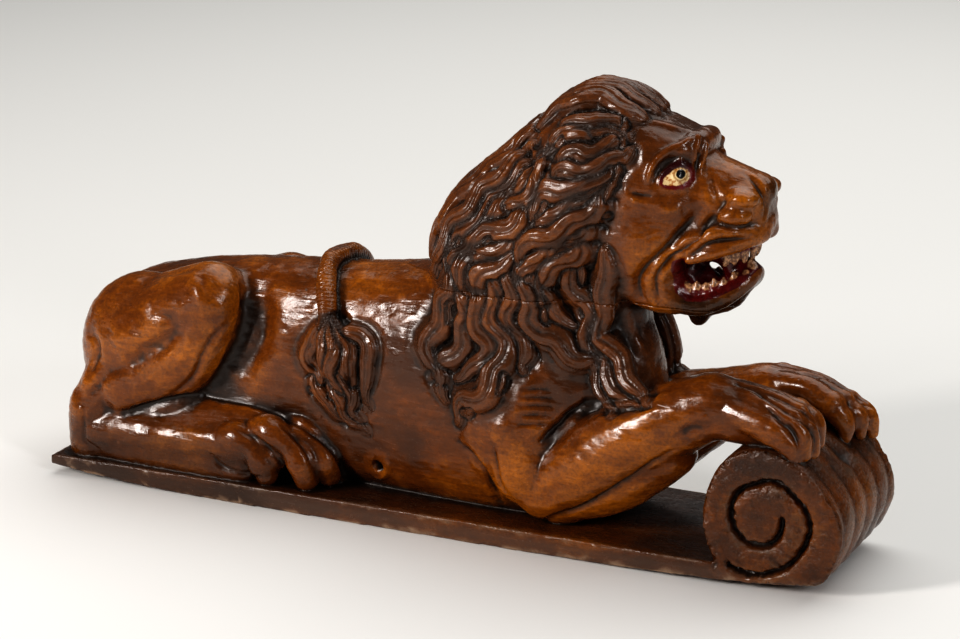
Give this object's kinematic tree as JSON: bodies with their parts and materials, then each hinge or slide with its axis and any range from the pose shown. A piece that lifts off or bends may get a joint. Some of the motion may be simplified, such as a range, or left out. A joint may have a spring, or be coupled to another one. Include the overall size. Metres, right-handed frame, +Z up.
{
  "type": "rudder head carving",
  "caption": "Varnished wooden carving of a lying lion with curled mane and open mouth, forepaws on a rolled scroll, on a thin tapering base that stands on its own.",
  "frame": {"origin": "on the ground, under the middle of the bounding box", "axes": "+Z up, +X the way the lion looks, along the base; the tail's tuft hangs on the -Y flank"},
  "size_m": [0.72, 0.174, 0.3832],
  "materials": {
    "varnished_wood": "gloss varnish"
  },
  "bodies": {
    "root": {"body_and_base": "varnished_wood", "head_block": "varnished_wood"}
  },
  "joints": []
}
